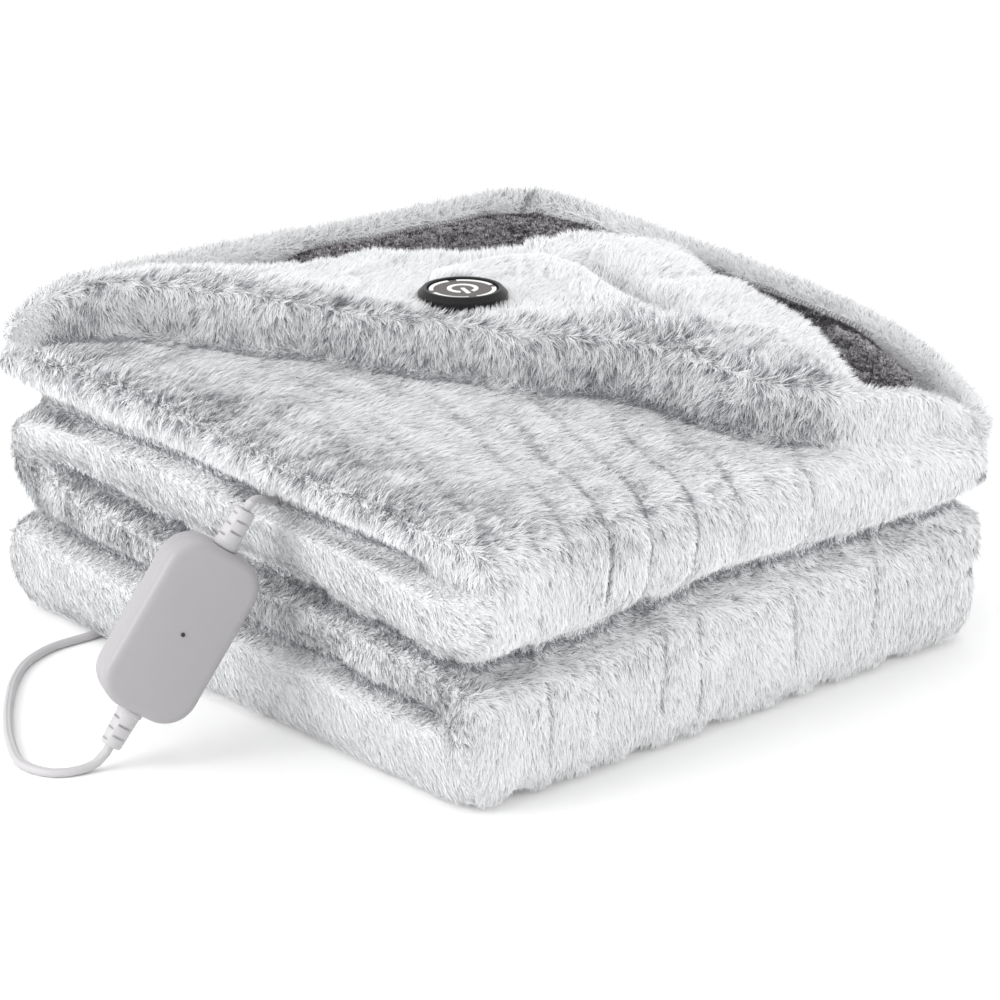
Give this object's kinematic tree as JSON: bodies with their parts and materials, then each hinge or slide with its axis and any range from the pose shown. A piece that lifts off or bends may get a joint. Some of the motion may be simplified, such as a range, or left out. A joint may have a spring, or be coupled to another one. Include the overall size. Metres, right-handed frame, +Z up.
{
  "type": "electric heated blanket",
  "caption": "Plush electric heated throw, folded into a square stack with one corner turned back, with a push button, an inline controller, a coiled mains cord and a plug.",
  "frame": {"origin": "centre of the folded stack's bounding box, without the free cord, on the surface it lies on", "axes": "+Z up. +X along the stack's side where the folded edges show, away from the near corner. +Y along the side where the layers' ends show, away from the same corner, towards the coiled cord."},
  "size_m": [0.5341, 0.5268, 0.2033],
  "materials": {
    "pale_fur": "long soft pile",
    "dark_velvet": "short velvet pile",
    "black_rim": "semi-gloss",
    "button_face": "matte",
    "grey_plastic": "satin",
    "pale_cord": "matte",
    "indicator_black": "gloss",
    "plated_blades": "nickel plated"
  },
  "bodies": {
    "root": {"fur_blanket": "pale_fur", "velvet_reverse": "dark_velvet", "button_rim": "black_rim", "button_face": "button_face", "controller_box": "grey_plastic", "controller_indicator": "indicator_black", "relief_to_blanket": "pale_cord", "relief_to_mains": "pale_cord", "short_lead": "pale_cord", "mains_cord": "pale_cord", "cord_coil": "pale_cord", "coil_tie": "pale_cord", "cord_tail": "pale_cord", "plug_relief": "pale_cord", "plug_body": "pale_cord", "plug_blade_left": "plated_blades", "plug_blade_right": "plated_blades"}
  },
  "joints": []
}
